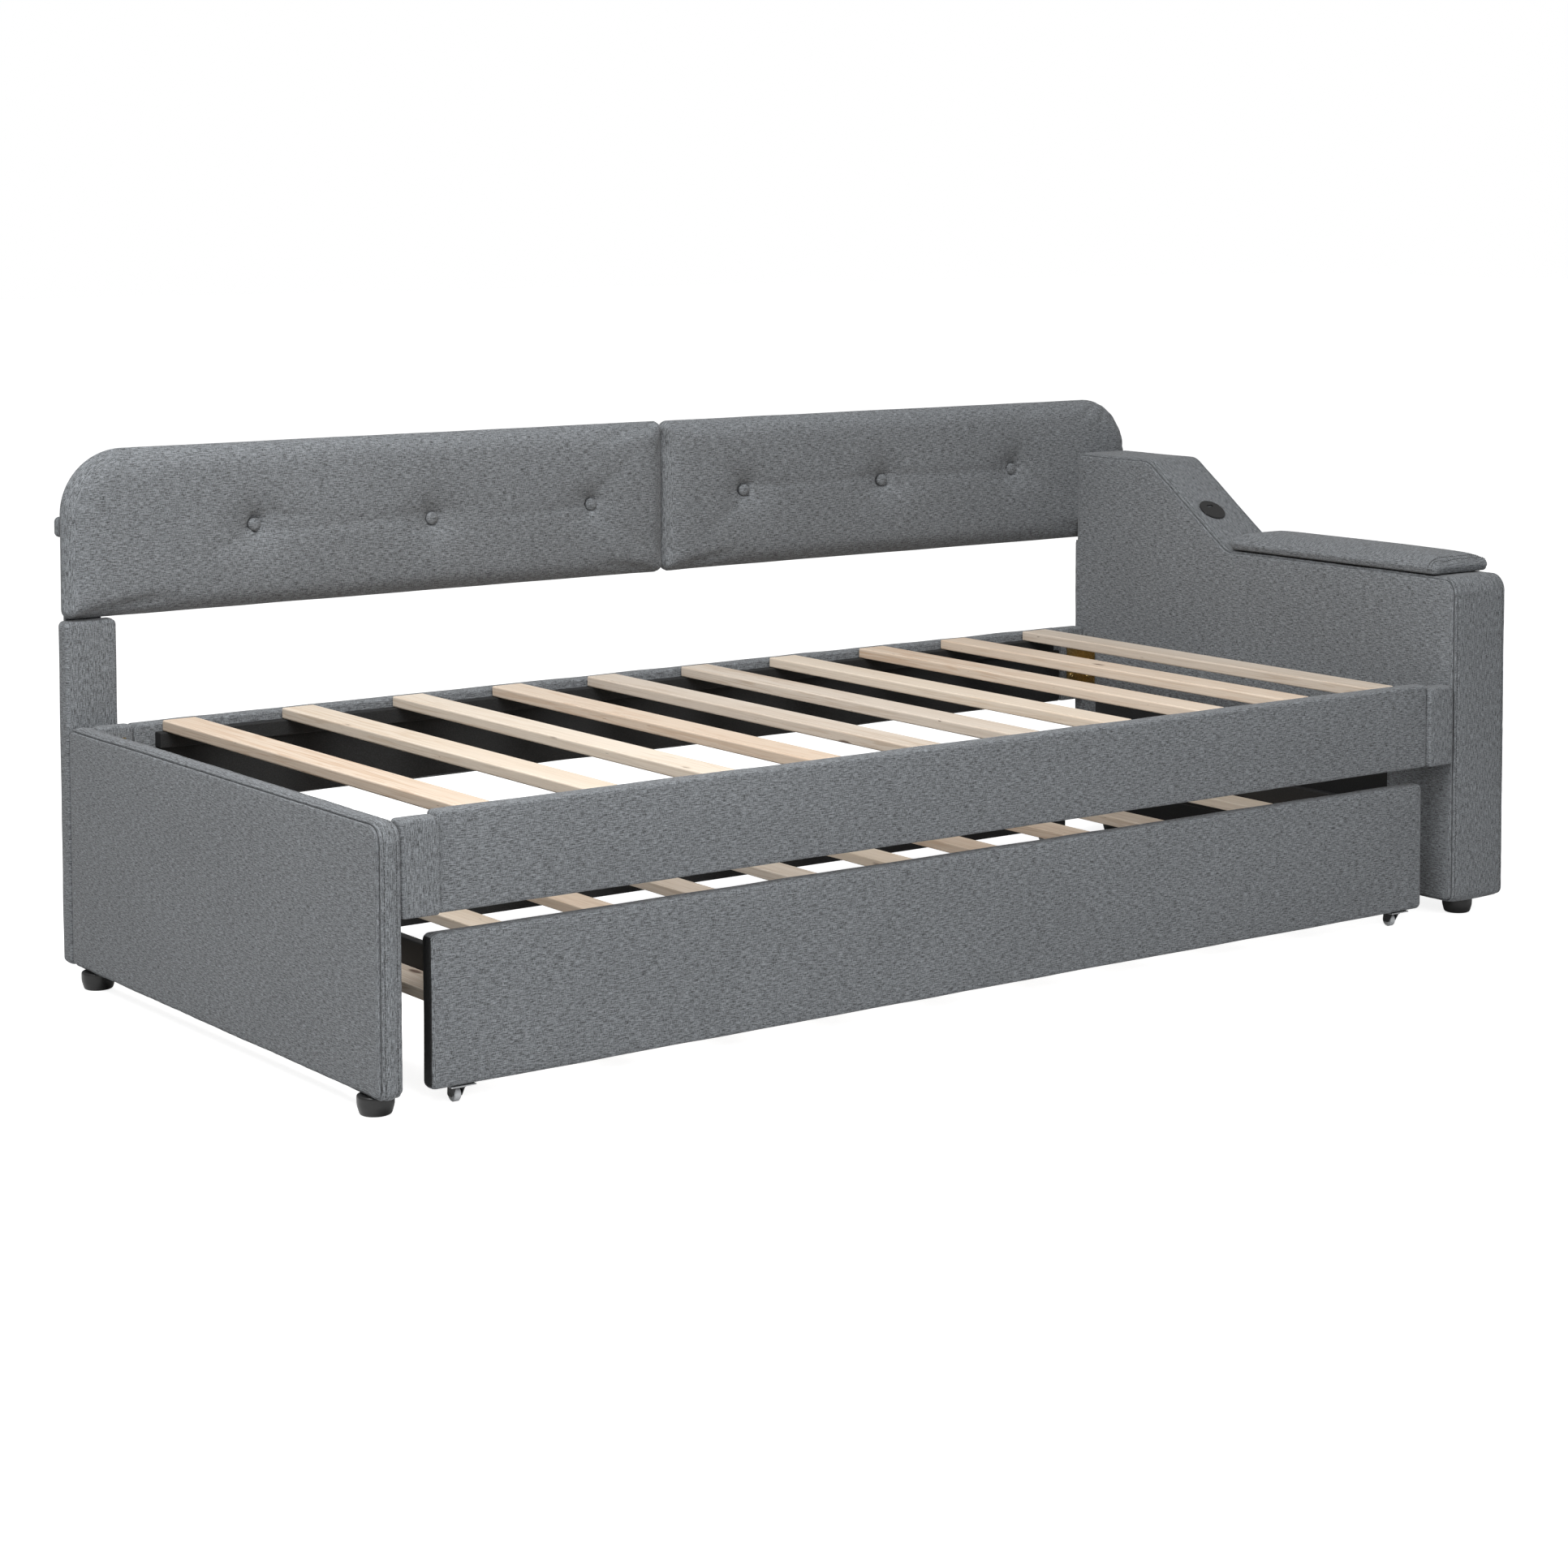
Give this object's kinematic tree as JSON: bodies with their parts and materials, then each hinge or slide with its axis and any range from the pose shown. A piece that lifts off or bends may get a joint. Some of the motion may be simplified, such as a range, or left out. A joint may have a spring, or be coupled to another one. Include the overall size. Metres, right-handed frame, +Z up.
{
  "type": "trundle bed",
  "caption": "Upholstered daybed with padded back, low end panel, storage arm with lift-up lid and power port, slatted base and a slatted trundle on casters.",
  "frame": {"origin": "bottom centre of the bed's bounding box, on the floor", "axes": "+X along the length, from the low end panel to the storage arm; -Y to the front, where the trundle pulls out; +Z up"},
  "size_m": [2.106, 1.013, 0.808],
  "materials": {
    "grey_fabric": "heathered woven upholstery cloth",
    "black_lining": "non-woven lining over board",
    "pine": "bare sawn softwood",
    "black_plastic": "satin moulded",
    "black_gloss": "glossy",
    "steel": "plated",
    "zinc": "bright zinc plate",
    "clear_wheel": "smooth, pale grey"
  },
  "bodies": {
    "bed_frame": {"left_end_panel": "grey_fabric", "left_front_foot": "black_plastic", "left_back_foot": "black_plastic", "right_front_foot": "black_plastic", "right_back_foot": "black_plastic", "front_rail": "grey_fabric", "front_rail_left_block": "grey_fabric", "front_rail_right_block": "grey_fabric", "front_slat_cleat": "black_lining", "back_rail": "grey_fabric", "back_rail_left_block": "grey_fabric", "back_rail_right_block": "grey_fabric", "back_slat_cleat": "black_lining", "main_slat_1": "pine", "main_slat_2": "pine", "main_slat_3": "pine", "main_slat_4": "pine", "main_slat_5": "pine", "main_slat_6": "pine", "main_slat_7": "pine", "main_slat_8": "pine", "main_slat_9": "pine", "main_slat_10": "pine", "arm_carcass": "grey_fabric", "arm_lid_hinge": "steel", "usb_port": "black_gloss", "left_rear_post": "grey_fabric", "right_rear_post": "grey_fabric", "backrest_cross_rail": "grey_fabric", "left_backrest_pad": "grey_fabric", "right_backrest_pad": "grey_fabric"},
    "lid": {"arm_lid": "grey_fabric"},
    "trundle": {"trundle_front_panel": "grey_fabric", "trundle_front_rail": "black_lining", "trundle_back_rail": "black_lining", "trundle_left_board": "black_lining", "trundle_right_board": "black_lining", "trundle_slat_1": "pine", "trundle_slat_2": "pine", "trundle_slat_3": "pine", "trundle_slat_4": "pine", "trundle_slat_5": "pine", "trundle_slat_6": "pine", "trundle_slat_7": "pine", "trundle_slat_8": "pine", "trundle_slat_9": "pine", "trundle_slat_10": "pine", "caster_plate_1": "zinc", "caster_plate_2": "zinc", "caster_plate_3": "zinc", "caster_plate_4": "zinc"},
    "caster_swivel_1": {"caster_fork_1": "zinc"},
    "caster_roller_1": {"caster_wheel_1": "clear_wheel"},
    "caster_swivel_2": {"caster_fork_2": "zinc"},
    "caster_roller_2": {"caster_wheel_2": "clear_wheel"},
    "caster_swivel_3": {"caster_fork_3": "zinc"},
    "caster_roller_3": {"caster_wheel_3": "clear_wheel"},
    "caster_swivel_4": {"caster_fork_4": "zinc"},
    "caster_roller_4": {"caster_wheel_4": "clear_wheel"}
  },
  "joints": [
    {"name": "trundle_slide", "type": "slide", "parent": "bed_frame", "child": "trundle", "axis": [0, -1, 0], "range_m": [0, 0.85]},
    {"name": "lid_hinge", "type": "hinge", "parent": "bed_frame", "child": "lid", "pos_m": [1.0508, -0.2075, 0.5664], "axis": [0, 1, 0], "range_deg": [0, 95]},
    {"name": "caster_swivel_1", "type": "hinge", "parent": "trundle", "child": "caster_swivel_1", "pos_m": [-0.917, -0.4755, 0.024], "axis": [0, 0, 1], "continuous": true},
    {"name": "caster_roll_1", "type": "hinge", "parent": "caster_swivel_1", "child": "caster_roller_1", "pos_m": [-0.917, -0.4685, 0.0105], "axis": [1, 0, 0], "continuous": true},
    {"name": "caster_swivel_2", "type": "hinge", "parent": "trundle", "child": "caster_swivel_2", "pos_m": [0.82, -0.4755, 0.024], "axis": [0, 0, 1], "continuous": true},
    {"name": "caster_roll_2", "type": "hinge", "parent": "caster_swivel_2", "child": "caster_roller_2", "pos_m": [0.82, -0.4685, 0.0105], "axis": [1, 0, 0], "continuous": true},
    {"name": "caster_swivel_3", "type": "hinge", "parent": "trundle", "child": "caster_swivel_3", "pos_m": [-0.917, 0.4115, 0.024], "axis": [0, 0, 1], "continuous": true},
    {"name": "caster_roll_3", "type": "hinge", "parent": "caster_swivel_3", "child": "caster_roller_3", "pos_m": [-0.917, 0.4185, 0.0105], "axis": [1, 0, 0], "continuous": true},
    {"name": "caster_swivel_4", "type": "hinge", "parent": "trundle", "child": "caster_swivel_4", "pos_m": [0.82, 0.4115, 0.024], "axis": [0, 0, 1], "continuous": true},
    {"name": "caster_roll_4", "type": "hinge", "parent": "caster_swivel_4", "child": "caster_roller_4", "pos_m": [0.82, 0.4185, 0.0105], "axis": [1, 0, 0], "continuous": true}
  ]
}
